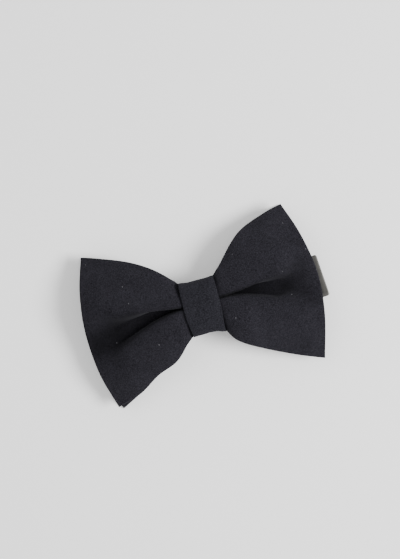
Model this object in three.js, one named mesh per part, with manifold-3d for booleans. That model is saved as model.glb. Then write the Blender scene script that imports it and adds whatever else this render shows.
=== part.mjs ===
// Pre-tied bow tie lying on its back, with its neckband folded in a zigzag behind the bow.
// Millimetres, +X along the bow, +Y to its top edge, +Z out of its face, z = 0 at the surface it lies on.
import * as THREE from 'three';
import { mergeVertices } from 'three/addons/utils/BufferGeometryUtils.js';
import Module from 'manifold-3d';

const wasm = await Module();
wasm.setup();

// Driving dimensions
const gap = 0.3; // clearance between pieces that touch
const strapWidth = 15;
const strapThickness = 0.7;
const strapMidY = -1.1;
const clothThickness = 0.4; // each panel or interlining of a blade
const pinchHalfLength = 7.5; // the gathered stretch under the knot
const pinchHalfHeight = 12;
const waistHalfHeight = 10.8; // where the thread gathers the blades
const knotHalfHeight = 14.3;
const knotLength = 17.4;
const knotInterliningLength = 15;
const knotClothThickness = 0.5;
const pleatRise = 4.4; // the ridges of the front blade above its valley
const threadDiameter = 0.4;
const tackThreadDiameter = 0.3;
const outerFoldX = -56; // folds of the neckband
const innerFoldX = 50;
const lastFoldX = -50;
const sliderX = -30;
const hookBarX = 32;
const ringBarX = 54.4;
const ringTilt = THREE.MathUtils.degToRad(3.7);
const metalThickness = 0.9;
const barHalfWidth = 0.65; // of the bars that the band turns round
const arcSteps = 12;
const crestFall = 2.2; // how much lower the front blade's crest is at a wing's end
const endDroop = 5.6; // how much more the front blade's corners droop than its waist does

// Levels of the folded band, counted up from the surface
const level = (bottom, thickness) => ({ bottom, top: bottom + thickness, mid: bottom + thickness / 2 });
const above = (lower, thickness) => level(lower.top + gap, thickness);
const returnRun = level(0, strapThickness);
const sliderBar = above(returnRun, strapThickness);
const sliderLoopTop = above(sliderBar, strapThickness);
const fourthRun = above(sliderLoopTop, strapThickness);
const sliderEnds = above(fourthRun, strapThickness);
const thirdRun = above(sliderEnds, strapThickness);
const secondRun = above(thirdRun, strapThickness);
const closingStitch = above(secondRun, threadDiameter);
const knotBack = above(closingStitch, knotClothThickness);
const knotInterliningBack = above(knotBack, clothThickness);
const firstRun = above(knotInterliningBack, strapThickness);
const threadBack = above(firstRun, threadDiameter);
const bladeStack = 3 * clothThickness + 2 * gap;
const rearBlade = above(threadBack, bladeStack);
const frontValley = above(rearBlade, bladeStack);
const ridgeTop = frontValley.top + pleatRise;
const threadFront = level(ridgeTop + gap, threadDiameter);
const knotInterliningFront = above(threadFront, clothThickness);
const knotFront = above(knotInterliningFront, knotClothThickness);

// Finishes
const cloth = () => new THREE.MeshStandardMaterial({ color: 0x2b2a2f, roughness: 0.95, metalness: 0 });
const canvas = () => new THREE.MeshStandardMaterial({ color: 0x8d887d, roughness: 1, metalness: 0 });
const thread = () => new THREE.MeshStandardMaterial({ color: 0x1c1b20, roughness: 0.8, metalness: 0 });
const metal = () => new THREE.MeshStandardMaterial({ color: 0x7b7871, roughness: 0.35, metalness: 1 });

function part(name, geometry, material) {
  const mesh = new THREE.Mesh(geometry, material);
  mesh.name = name;
  return mesh;
}

// A profile drawn in X and Z, carried across the band's width in Y
function acrossBand(shape, width = strapWidth, curveSegments = arcSteps) {
  const geometry = new THREE.ExtrudeGeometry(shape, { depth: width, bevelEnabled: false, curveSegments });
  geometry.rotateX(Math.PI / 2);
  geometry.translate(0, strapMidY + width / 2, 0);
  return geometry;
}

// A profile drawn in Y and Z, carried along X and centred on x = 0
function alongBow(shape, length) {
  const geometry = new THREE.ExtrudeGeometry(shape, { depth: length, bevelEnabled: false, curveSegments: 6 });
  geometry.applyMatrix4(new THREE.Matrix4().makeBasis(
    new THREE.Vector3(0, 1, 0),
    new THREE.Vector3(0, 0, 1),
    new THREE.Vector3(1, 0, 0),
  ));
  geometry.translate(-length / 2, 0, 0);
  return geometry;
}

function rectangle(x0, z0, x1, z1) {
  const shape = new THREE.Shape();
  shape.moveTo(x0, z0);
  shape.lineTo(x1, z0);
  shape.lineTo(x1, z1);
  shape.lineTo(x0, z1);
  shape.closePath();
  return shape;
}

function roundedRectangle(Outline, x0, y0, x1, y1, r) {
  const outline = new Outline();
  outline.moveTo(x0 + r, y0);
  outline.lineTo(x1 - r, y0);
  outline.absarc(x1 - r, y0 + r, r, -Math.PI / 2, 0, false);
  outline.lineTo(x1, y1 - r);
  outline.absarc(x1 - r, y1 - r, r, 0, Math.PI / 2, false);
  outline.lineTo(x0 + r, y1);
  outline.absarc(x0 + r, y1 - r, r, Math.PI / 2, Math.PI, false);
  outline.lineTo(x0, y0 + r);
  outline.absarc(x0 + r, y0 + r, r, Math.PI, Math.PI * 1.5, false);
  return outline;
}

function run(name, x0, x1, at) {
  return part(name, acrossBand(rectangle(x0, at.bottom, x1, at.top)), cloth());
}

// Half a ring of strap round (x, the middle of two levels); side is -1 for a fold at the left
function fold(name, x, lower, upper, side) {
  const z = (lower.mid + upper.mid) / 2;
  const outer = (upper.top - lower.bottom) / 2;
  const shape = new THREE.Shape();
  shape.absarc(x, z, outer, -Math.PI / 2, Math.PI / 2, side < 0);
  shape.absarc(x, z, outer - strapThickness, Math.PI / 2, -Math.PI / 2, side > 0);
  return part(name, acrossBand(shape), cloth());
}

function toSolid(geometry) {
  const bare = geometry.clone();
  bare.deleteAttribute('normal');
  bare.deleteAttribute('uv');
  const merged = mergeVertices(bare, 1e-4);
  const vertProperties = new Float32Array(merged.attributes.position.array);
  const triVerts = new Uint32Array(merged.index.array);
  return new wasm.Manifold(new wasm.Mesh({ numProp: 3, vertProperties, triVerts }));
}

function toGeometry(solid) {
  const mesh = solid.getMesh();
  const geometry = new THREE.BufferGeometry();
  geometry.setAttribute('position', new THREE.BufferAttribute(new Float32Array(mesh.vertProperties), 3));
  geometry.setIndex(new THREE.BufferAttribute(new Uint32Array(mesh.triVerts), 1));
  geometry.computeVertexNormals();
  return geometry;
}

// The outline of a blade: for each wing its top, bottom and end edges, from the pinch outwards
const curve = (...points) => new THREE.SplineCurve(points.map(([x, y]) => new THREE.Vector2(x, y)));
const pinchCorner = (side, y) => [side * pinchHalfLength, y * pinchHalfHeight];
const leftTop = curve(pinchCorner(-1, 1), [-11.2, 16.5], [-19.5, 24.2], [-30.4, 30.8], [-45.4, 36.7],
  [-52.5, 39]);
const rightTop = curve(pinchCorner(1, 1), [13.8, 18], [22.1, 26.7], [29.6, 32.1], [42.1, 36.5],
  [51.3, 38.6]);
const rightBottom = curve(pinchCorner(1, -1), [13, -19.5], [23.8, -27.3], [39.6, -35], [52.5, -40.2]);
const rightEnd = curve([52.5, -40.2], [58, -18.5], [59.8, 1.5], [56.7, 21.5], [51.3, 38.6]);

// tip is the lower left corner, where the rear blade shows below the front one
function wings(tip) {
  const leftBottom = curve(pinchCorner(-1, -1), [-12, -15.6], [-19.5, -22.5], [-30.4, -26.8],
    [-41.2, -33.1], tip);
  const leftEnd = curve(tip, [-58.5, -18.5], [-59.9, 1.5], [-57.5, 21.5], [-52.5, 39]);
  return {
    left: { top: leftTop, bottom: leftBottom, end: leftEnd },
    right: { top: rightTop, bottom: rightBottom, end: rightEnd },
  };
}

// A Coons patch: u runs from the pinch to the wing's end, w from the bottom edge to the top edge
function wingPoint(wing, u, w) {
  const top = wing.top.getPointAt(u);
  const bottom = wing.bottom.getPointAt(u);
  const end = wing.end.getPointAt(w);
  const topIn = wing.top.getPoint(0);
  const topOut = wing.top.getPoint(1);
  const bottomIn = wing.bottom.getPoint(0);
  const bottomOut = wing.bottom.getPoint(1);
  const inner = bottomIn.clone().lerp(topIn, w);
  const acrossIn = bottomIn.clone().lerp(topIn, w).multiplyScalar(1 - u);
  const acrossOut = bottomOut.clone().lerp(topOut, w).multiplyScalar(u);
  return bottom.lerp(top, w)
    .add(inner.multiplyScalar(1 - u))
    .add(end.multiplyScalar(u))
    .sub(acrossIn)
    .sub(acrossOut);
}

// Height of the front blade's face; s is -1 at the bottom edge and 1 at the top edge
function frontHeight(side, u, s) {
  const crest = ridgeTop - crestFall * u;
  const depth = pleatRise * (side < 0 ? 1 - 0.5 * u : 1 - 0.9 * u);
  const middle = 0.1 - 0.15 * u;
  const valley = depth * Math.exp(-(((s - middle) / (0.16 + 0.25 * u)) ** 2));
  const droop = (pleatRise + endDroop * u) * Math.abs(s) ** 2.5;
  return crest - valley - droop;
}

// Height of the rear blade's face, whose four corners reach down to the surface
function rearHeight(side, u, s) {
  return rearBlade.top - (rearBlade.top - bladeStack) * u ** 1.2 * Math.abs(s) ** 2.2;
}

const wingCells = 11;
const pinchCells = 2;
const heightCells = 14;

// One layer of a blade, closed all round: its top lies `below` under the blade's face
function bladeLayer(outline, height, below) {
  const columns = 2 * wingCells + pinchCells;
  const positions = [];
  for (let i = 0; i <= columns; i += 1) {
    const side = i < columns / 2 ? -1 : 1;
    const u = Math.max(0, (Math.abs(i - columns / 2) - pinchCells / 2) / wingCells);
    for (let j = 0; j <= heightCells; j += 1) {
      const w = j / heightCells;
      const s = 2 * w - 1;
      const inPinch = (i - columns / 2) / (pinchCells / 2);
      const half = waistHalfHeight + (pinchHalfHeight - waistHalfHeight) * inPinch ** 2;
      const place = u > 0
        ? wingPoint(side < 0 ? outline.left : outline.right, u, w)
        : new THREE.Vector2(inPinch * pinchHalfLength, s * half);
      const z = height(side, u, s) - below;
      positions.push(place.x, place.y, z, place.x, place.y, z - clothThickness);
    }
  }
  const at = (i, j, lower) => 2 * (i * (heightCells + 1) + j) + lower;
  const faces = [];
  const quad = (a, b, c, d) => faces.push(a, b, c, a, c, d);
  for (let i = 0; i < columns; i += 1) {
    for (let j = 0; j < heightCells; j += 1) {
      quad(at(i, j, 0), at(i + 1, j, 0), at(i + 1, j + 1, 0), at(i, j + 1, 0));
      quad(at(i, j, 1), at(i, j + 1, 1), at(i + 1, j + 1, 1), at(i + 1, j, 1));
    }
    quad(at(i, 0, 0), at(i, 0, 1), at(i + 1, 0, 1), at(i + 1, 0, 0));
    const top = heightCells;
    quad(at(i, top, 0), at(i + 1, top, 0), at(i + 1, top, 1), at(i, top, 1));
  }
  for (let j = 0; j < heightCells; j += 1) {
    quad(at(0, j, 0), at(0, j + 1, 0), at(0, j + 1, 1), at(0, j, 1));
    quad(at(columns, j, 0), at(columns, j, 1), at(columns, j + 1, 1), at(columns, j + 1, 0));
  }
  const geometry = new THREE.BufferGeometry();
  geometry.setAttribute('position', new THREE.Float32BufferAttribute(positions, 3));
  geometry.setIndex(faces);
  geometry.computeVertexNormals();
  return geometry;
}

// A blade is a sewn bag: a face panel, an interlining and a backing panel
function blade(name, outline, height) {
  const pitch = clothThickness + gap;
  return [
    part(`${name}_face`, bladeLayer(outline, height, 0), cloth()),
    part(`${name}_interlining`, bladeLayer(outline, height, pitch), canvas()),
    part(`${name}_backing`, bladeLayer(outline, height, 2 * pitch), cloth()),
  ];
}

// A flat loop of cloth round the pinch, between two levels
function knotSleeve(back, front, halfHeight, thickness, length, radius) {
  const shape = roundedRectangle(THREE.Shape, -halfHeight, back.bottom, halfHeight, front.top, radius);
  shape.holes.push(roundedRectangle(
    THREE.Path,
    -halfHeight + thickness,
    back.bottom + thickness,
    halfHeight - thickness,
    front.top - thickness,
    radius - thickness,
  ));
  return alongBow(shape, length);
}

function threadAlong(path, steps, diameter) {
  const section = new THREE.Shape();
  const sides = 6;
  for (let k = 0; k < sides; k += 1) {
    const angle = (2 * Math.PI * k) / sides;
    section[k ? 'lineTo' : 'moveTo'](diameter / 2 * Math.cos(angle), diameter / 2 * Math.sin(angle));
  }
  return new THREE.ExtrudeGeometry(section, { steps, bevelEnabled: false, extrudePath: path });
}

// Turns of thread round the waist of both blades, each nearly a rectangle
function gatherThread() {
  const turns = 3;
  const pointsPerTurn = 24;
  const length = 4;
  const halfHeight = 12.25;
  const middle = (threadBack.mid + threadFront.mid) / 2;
  const squarer = (value) => Math.sign(value) * Math.abs(value) ** (1 / 6);
  const points = [];
  for (let k = 0; k <= turns * pointsPerTurn; k += 1) {
    const t = k / (turns * pointsPerTurn);
    const angle = 2 * Math.PI * turns * t;
    points.push(new THREE.Vector3(
      length * (t - 0.5),
      halfHeight * squarer(Math.cos(angle)),
      middle + (threadFront.mid - middle) * squarer(Math.sin(angle)),
    ));
  }
  const path = new THREE.CatmullRomCurve3(points);
  return part('gather_thread', threadAlong(path, 36 * turns, threadDiameter), thread());
}

// A zigzag of thread from y0 to y1, `reach` to either side of x
function zigzag(name, x, z, y0, y1, reach, stitches, diameter) {
  const points = [];
  for (let k = 0; k <= stitches; k += 1) {
    points.push(new THREE.Vector3(x + (k % 2 ? reach : -reach), y0 + (y1 - y0) * k / stitches, z));
  }
  return part(name, threadAlong(new THREE.CatmullRomCurve3(points), stitches * 3, diameter), thread());
}

// The band's right end: the first run, turned down round the ring's bar and sewn back on itself
const ringLoop = { length: 2.1, height: 1.65, eyeLength: 1.45, eyeHeight: 0.95, tail: 4.4, tailEnd: 2.6 };

function firstRunWithLoop() {
  const middle = firstRun.top - ringLoop.height;
  const shape = new THREE.Shape();
  const tailStart = ringBarX - ringLoop.tail;
  shape.moveTo(outerFoldX + gap, firstRun.bottom);
  shape.lineTo(tailStart, firstRun.bottom);
  shape.lineTo(tailStart, firstRun.bottom - strapThickness);
  shape.lineTo(ringBarX - ringLoop.tailEnd, firstRun.bottom - strapThickness);
  shape.absellipse(
    ringBarX, middle, ringLoop.length, ringLoop.height, Math.PI * 1.02, Math.PI * 2.5, false);
  shape.lineTo(outerFoldX + gap, firstRun.top);
  const eye = new THREE.Path();
  eye.absellipse(ringBarX, middle, ringLoop.eyeLength, ringLoop.eyeHeight, 0, 2 * Math.PI, false);
  shape.holes.push(eye);
  return part('neckband_first_run', acrossBand(shape), cloth());
}

// A flat metal frame: its bar lies on x = 0 and its far bar towards +X
const frameHalfHeight = 10.75;
const frameSlotHalfHeight = 8.6;
const frameCorner = 1.1;
const slotCorner = 0.5;
const ringSlotEnd = 4.7; // how far the ring's slot and its outer edge are from its bar
const ringEnd = 8.1;
const hookSlotEnd = 2.9;
const hookFrameEnd = 5.2;

function metalFrame(slotEnd, outerEnd) {
  const shape = roundedRectangle(
    THREE.Shape, -barHalfWidth, -frameHalfHeight, outerEnd, frameHalfHeight, frameCorner);
  shape.holes.push(roundedRectangle(
    THREE.Path, barHalfWidth, -frameSlotHalfHeight, slotEnd, frameSlotHalfHeight, slotCorner));
  const bevel = 0.2;
  const geometry = new THREE.ExtrudeGeometry(shape, {
    depth: metalThickness - 2 * bevel,
    bevelThickness: bevel,
    bevelSize: bevel,
    bevelOffset: -bevel,
    bevelSegments: 1,
    curveSegments: 4,
  });
  geometry.translate(0, 0, bevel - metalThickness / 2);
  return geometry;
}

function eyeRing() {
  const ring = part('eye_ring', metalFrame(ringSlotEnd, ringEnd), metal());
  ring.position.set(ringBarX, strapMidY, firstRun.top - ringLoop.height);
  ring.rotation.z = ringTilt;
  return ring;
}

// The hook: a frame like the ring's, with a tongue that runs out and turns back over itself
function hook() {
  const turnRadius = 1;
  const tongueThickness = 0.8;
  const tongueHalfWidth = 4;
  const tongueRoot = 4; // inside the frame's outer bar
  const tongueEnd = 10.5;
  const tongueTip = 5.5;
  const shape = new THREE.Shape();
  const outer = turnRadius + tongueThickness / 2;
  const inner = turnRadius - tongueThickness / 2;
  shape.moveTo(tongueRoot, -tongueThickness / 2);
  shape.absarc(tongueEnd, turnRadius, outer, -Math.PI / 2, Math.PI / 2, false);
  shape.lineTo(tongueTip, turnRadius + outer);
  shape.lineTo(tongueTip, turnRadius + inner);
  shape.absarc(tongueEnd, turnRadius, inner, Math.PI / 2, -Math.PI / 2, true);
  shape.lineTo(tongueRoot, tongueThickness / 2);
  shape.closePath();
  const tongue = new THREE.ExtrudeGeometry(shape, {
    depth: 2 * tongueHalfWidth,
    bevelEnabled: false,
    curveSegments: 8,
  });
  tongue.rotateX(Math.PI / 2);
  tongue.translate(0, tongueHalfWidth, 0);
  const joined = toSolid(metalFrame(hookSlotEnd, hookFrameEnd)).add(toSolid(tongue));
  const mesh = part('hook', toGeometry(joined), metal());
  mesh.position.set(hookBarX, strapMidY, (returnRun.mid + fourthRun.mid) / 2);
  return mesh;
}

// The slide adjuster: a bowed plate with two slots, its middle bar low and its end bars high
function slideAdjuster() {
  const halfLength = 6.2;
  const rise = sliderEnds.mid - sliderBar.mid;
  const half = strapThickness / 2;
  const slotStart = 0.4;
  const slotLength = 3.7;
  const bendEnd = 4.2;
  const heightAt = (x) => (
    sliderBar.mid + rise * THREE.MathUtils.smoothstep(Math.abs(x), slotStart, bendEnd));
  const shape = new THREE.Shape();
  const steps = 24;
  for (let k = 0; k <= steps; k += 1) {
    const x = halfLength * (2 * k / steps - 1);
    shape[k ? 'lineTo' : 'moveTo'](x, heightAt(x) - half);
  }
  for (let k = steps; k >= 0; k -= 1) {
    const x = halfLength * (2 * k / steps - 1);
    shape.lineTo(x, heightAt(x) + half);
  }
  const plate = new THREE.ExtrudeGeometry(shape, { depth: 2 * frameHalfHeight, bevelEnabled: false });
  plate.rotateX(Math.PI / 2);
  plate.translate(0, frameHalfHeight, 0);
  const slot = new THREE.BoxGeometry(slotLength, 2 * frameSlotHalfHeight, 4 * sliderEnds.top);
  const slotX = slotStart + slotLength / 2;
  const cut = toSolid(plate)
    .subtract(toSolid(slot.clone().translate(slotX, 0, 0)))
    .subtract(toSolid(slot.clone().translate(-slotX, 0, 0)));
  const mesh = part('slide_adjuster', toGeometry(cut), metal());
  mesh.position.set(sliderX, strapMidY, 0);
  return mesh;
}

// The band's other end, wrapped round the slide adjuster's middle bar
const sliderLoopReach = 3;

function sliderEndLoop() {
  const outer = (sliderLoopTop.top - returnRun.bottom) / 2;
  const inner = 0.75;
  const shape = new THREE.Shape();
  shape.moveTo(sliderX + sliderLoopReach, returnRun.bottom);
  shape.lineTo(sliderX + sliderLoopReach, sliderBar.mid - inner);
  shape.absarc(sliderX, sliderBar.mid, inner, -Math.PI / 2, Math.PI / 2, true);
  shape.lineTo(sliderX + sliderLoopReach, sliderBar.mid + inner);
  shape.lineTo(sliderX + sliderLoopReach, sliderLoopTop.top);
  shape.absarc(sliderX, sliderBar.mid, outer, Math.PI / 2, -Math.PI / 2, false);
  return part('neckband_sewn_end', acrossBand(shape), cloth());
}

function knot() {
  const corner = 3;
  const inset = knotClothThickness + gap;
  const loop = knotSleeve(
    knotBack, knotFront, knotHalfHeight, knotClothThickness, knotLength, corner);
  const interlining = knotSleeve(
    knotInterliningBack, knotInterliningFront, knotHalfHeight - inset, clothThickness,
    knotInterliningLength, corner - inset);
  return [part('knot_loop', loop, cloth()), part('knot_interlining', interlining, canvas())];
}

const bowTie = new THREE.Group();
bowTie.add(
  ...blade('front_blade', wings([-53.7, -36.8]), frontHeight),
  ...blade('rear_blade', wings([-52, -38.5]), rearHeight),
  gatherThread(),
  ...knot(),
  zigzag('knot_closing_stitch', 0, closingStitch.mid, -10, 10, 0.9, 16, threadDiameter),
  firstRunWithLoop(),
  zigzag('ring_end_tack', ringBarX - 3.4, firstRun.bottom - strapThickness - gap - tackThreadDiameter / 2,
    strapMidY - 6, strapMidY + 6, 0.7, 12, tackThreadDiameter),
  fold('neckband_first_fold', outerFoldX, secondRun, firstRun, -1),
  run('neckband_second_run', outerFoldX + gap, innerFoldX - gap, secondRun),
  fold('neckband_second_fold', innerFoldX, thirdRun, secondRun, 1),
  run('neckband_third_run', lastFoldX + gap, innerFoldX - gap, thirdRun),
  fold('neckband_third_fold', lastFoldX, fourthRun, thirdRun, -1),
  run('neckband_fourth_run', lastFoldX + gap, hookBarX - gap, fourthRun),
  fold('neckband_hook_turn', hookBarX, returnRun, fourthRun, 1),
  run('neckband_return_run', sliderX + sliderLoopReach + gap, hookBarX - gap, returnRun),
  sliderEndLoop(),
  slideAdjuster(),
  hook(),
  eyeRing(),
);

export default bowTie;
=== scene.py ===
import math

import bmesh
import bpy
import numpy as np
from mathutils import Matrix, Vector


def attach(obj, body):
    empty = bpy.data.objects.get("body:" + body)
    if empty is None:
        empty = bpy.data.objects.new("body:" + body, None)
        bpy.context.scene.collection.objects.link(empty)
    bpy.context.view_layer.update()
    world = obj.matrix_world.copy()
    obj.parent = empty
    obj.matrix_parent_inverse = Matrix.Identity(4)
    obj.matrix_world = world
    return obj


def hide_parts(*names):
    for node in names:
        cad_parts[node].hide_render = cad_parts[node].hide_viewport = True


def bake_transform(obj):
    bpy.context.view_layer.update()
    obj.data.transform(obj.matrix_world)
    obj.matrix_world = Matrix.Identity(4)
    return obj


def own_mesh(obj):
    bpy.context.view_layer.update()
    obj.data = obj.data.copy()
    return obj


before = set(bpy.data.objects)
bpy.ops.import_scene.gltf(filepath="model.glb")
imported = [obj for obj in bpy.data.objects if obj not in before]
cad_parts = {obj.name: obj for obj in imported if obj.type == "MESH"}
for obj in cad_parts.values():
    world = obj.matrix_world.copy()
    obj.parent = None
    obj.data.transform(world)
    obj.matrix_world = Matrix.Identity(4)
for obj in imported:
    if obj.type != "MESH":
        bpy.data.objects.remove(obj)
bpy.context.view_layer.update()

mm = 0.001
print("frame loaded")


def gridQuads(rows, columns, closeRows=False, closeColumns=False):
    # the four corners of every cell of a grid, as vertex numbers, row by row
    r = np.arange(rows if closeRows else rows - 1)[:, None]
    c = np.arange(columns if closeColumns else columns - 1)[None, :]
    r2 = (r + 1) % rows
    c2 = (c + 1) % columns
    quads = [r * columns + c, r2 * columns + c, r2 * columns + c2, r * columns + c2]
    return np.stack([q + np.zeros_like(r + c) for q in quads], -1).reshape(-1, 4)


def makeObject(name, points, quads, uv=None, material=None, attributes=None):
    # points in mm; uv is one (u, v) in mm for each point
    mesh = bpy.data.meshes.new(name)
    places = np.asarray(points, float).reshape(-1, 3) * mm
    mesh.from_pydata(places.tolist(), [], [list(map(int, quad)) for quad in quads])
    mesh.validate()
    mesh.polygons.foreach_set("use_smooth", np.ones(len(mesh.polygons), bool))
    if uv is not None:
        layer = mesh.uv_layers.new(name="cloth")
        corners = np.zeros(len(mesh.loops), np.int32)
        mesh.loops.foreach_get("vertex_index", corners)
        layer.data.foreach_set("uv", (np.asarray(uv, float).reshape(-1, 2)[corners] * mm).ravel())
    for key, value in (attributes or {}).items():
        layer = mesh.attributes.new(key, "FLOAT", "POINT")
        layer.data.foreach_set("value", np.asarray(value, np.float32).ravel())
    item = bpy.data.objects.new(name, mesh)
    bpy.context.scene.collection.objects.link(item)
    if material is not None:
        mesh.materials.append(material)
    return item


def splineSamples(points, steps=24):
    # a Catmull-Rom curve through the points, `steps` samples to each span
    p = np.asarray(points, float)
    p = np.vstack([p[:1], p, p[-1:]])
    t = np.linspace(0, 1, steps, endpoint=False)[None, :, None]
    a, b, c, d = (p[k:len(p) - 3 + k, None, :] for k in range(4))
    curve = 0.5 * (2 * b + (c - a) * t + (2 * a - 5 * b + 4 * c - d) * t ** 2
                   + (3 * b - a - 3 * c + d) * t ** 3)
    return np.vstack([curve.reshape(-1, p.shape[1]), p[-1:]])


def lengths(path):
    # the length travelled along a path at each of its points
    return np.concatenate([[0], np.cumsum(np.linalg.norm(np.diff(path, axis=0), axis=1))])


def outwards(path):
    # unit normals of a path in x and z, a quarter turn from its direction
    forward = np.gradient(path, axis=0)
    forward = forward / np.linalg.norm(forward, axis=1, keepdims=True)
    return np.stack([-forward[:, 1], forward[:, 0]], -1)


def signedPower(value, power):
    # a power of the size, with the value's own sign: it squares up the sine and cosine of an oval
    return np.sign(value) * np.abs(value) ** power


def along(points, fraction):
    # places on that curve at fractions of its length
    curve = splineSamples(points)
    travelled = lengths(curve)
    at = np.asarray(fraction) * travelled[-1]
    return np.stack([np.interp(at, travelled, curve[:, k]) for k in range(curve.shape[1])], -1)


def graph(knots, x):
    # a smooth function through (x, value) knots, which run upwards in x
    curve = splineSamples(knots)
    return np.interp(x, curve[:, 0], curve[:, 1])


def smooth(x, low, high):
    # 0 at low, 1 at high: three times the square less twice the cube of the share between
    t = np.clip((x - low) / (high - low), 0, 1)
    return t * t * (3 - 2 * t)


class Wire:
    # one output socket, with arithmetic that adds Math nodes
    def __init__(self, tree, socket):
        self.tree, self.socket = tree, socket

    def maths(self, operation, *others):
        node = self.tree.nodes.new("ShaderNodeMath")
        node.operation = operation
        for slot, value in zip(node.inputs, (self, *others)):
            plug(self.tree, slot, value)
        return Wire(self.tree, node.outputs[0])

    def __add__(self, other):
        return self.maths("ADD", other)

    __radd__ = __add__

    def __mul__(self, other):
        return self.maths("MULTIPLY", other)

    __rmul__ = __mul__

    def __sub__(self, other):
        return self.maths("SUBTRACT", other)

    def __rsub__(self, other):
        return (self * -1.0) + other

    def __truediv__(self, other):
        return self.maths("DIVIDE", other)

    def sine(self):
        return self.maths("SINE")

    def absolute(self):
        return self.maths("ABSOLUTE")

    def clipped(self):
        return self.maths("MINIMUM", 1.0).maths("MAXIMUM", 0.0)

    def step(self, low, high):
        # a straight rise from 0 at low to 1 at high
        return ((self - low) / (high - low)).clipped()


def plug(tree, slot, value):
    # a wire is linked to the socket, and anything else becomes the socket's own value
    if isinstance(value, Wire):
        tree.links.new(value.socket, slot)
    else:
        slot.default_value = value


class Finish:
    # a material under construction
    def __init__(self, name):
        self.material = bpy.data.materials.new(name)
        self.material.use_nodes = True
        self.tree = self.material.node_tree
        self.shader = self.tree.nodes["Principled BSDF"]

    def node(self, kind, settings=None, sockets=None, output=0):
        # one node of any kind: its settings come first, then the values or wires of its sockets
        made = self.tree.nodes.new(kind)
        for key, value in (settings or {}).items():
            setattr(made, key, value)
        for key, value in (sockets or {}).items():
            plug(self.tree, made.inputs[key], value)
        return Wire(self.tree, made.outputs[output])

    def coordinates(self, which="Object"):
        return self.node("ShaderNodeTexCoord", output=which)

    def parts(self, vector):
        made = self.node("ShaderNodeSeparateXYZ", {}, {"Vector": vector}).socket.node
        return [Wire(self.tree, out) for out in made.outputs]

    def stretched(self, vector, scale, rotation=(0, 0, 0)):
        # coordinates turned, then stretched along each axis
        return self.node("ShaderNodeMapping", {}, {"Vector": vector, "Rotation": rotation, "Scale": scale})

    def noise(self, vector, scale, detail=2.0, roughness=0.5):
        return self.node("ShaderNodeTexNoise", {}, {
            "Vector": vector, "Scale": scale, "Detail": detail, "Roughness": roughness})

    def blend(self, factor, first, second):
        # sockets 6 and 7 are the two colours, and output 2 is their mix
        return self.node("ShaderNodeMix", {"data_type": "RGBA"}, {0: factor, 6: first, 7: second}, 2)

    def set(self, **values):
        for key, value in values.items():
            plug(self.tree, self.shader.inputs[key.replace("_", " ")], value)

    def bump(self, height, strength, distance):
        self.set(Normal=self.node("ShaderNodeBump", {}, {
            "Height": height, "Strength": strength, "Distance": distance}))


clothLook = {
    "dark": (0.0012, 0.0011, 0.0018, 1),
    "light": (0.0255, 0.0242, 0.0307, 1),
    "knotLight": (0.0256, 0.0251, 0.0314, 1),  # the knot's cloth is a little greyer
    "lint": (0.14, 0.14, 0.15, 1),
    "stitch": (0.050, 0.049, 0.055, 1),
    "pitch": 0.42 * mm,  # of the weave
    "bandPitch": 0.55 * mm,
    "bandStitch": 6.3 * mm,  # the neckband's stitch rows, from its middle
    "pleatShadeColour": (0.001, 0.001, 0.0012, 1),  # painted shade: the near-black that the cloth is drawn in deep in the pleat, where shade falls
    "mottleScale": 75,
    "grainScale": 2300,
    "grainGain": 4.6,
    "lintScale": 210,
    "lintPatches": 47,  # noise scale of the patches that hold lint
    "stitchHalf": 0.28 * mm,
    "stitchPitch": 2.2 * mm,
    "relief": 0.4,  # strength of the weave's bump
    "reliefDepth": 0.12 * mm,
    "roughness": 0.84,
    "sheen": 0.04,
    "sheenRoughness": 0.6,
    "sheenTint": (0.85, 0.85, 0.95, 1),
    "specular": 0.03,
}


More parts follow.
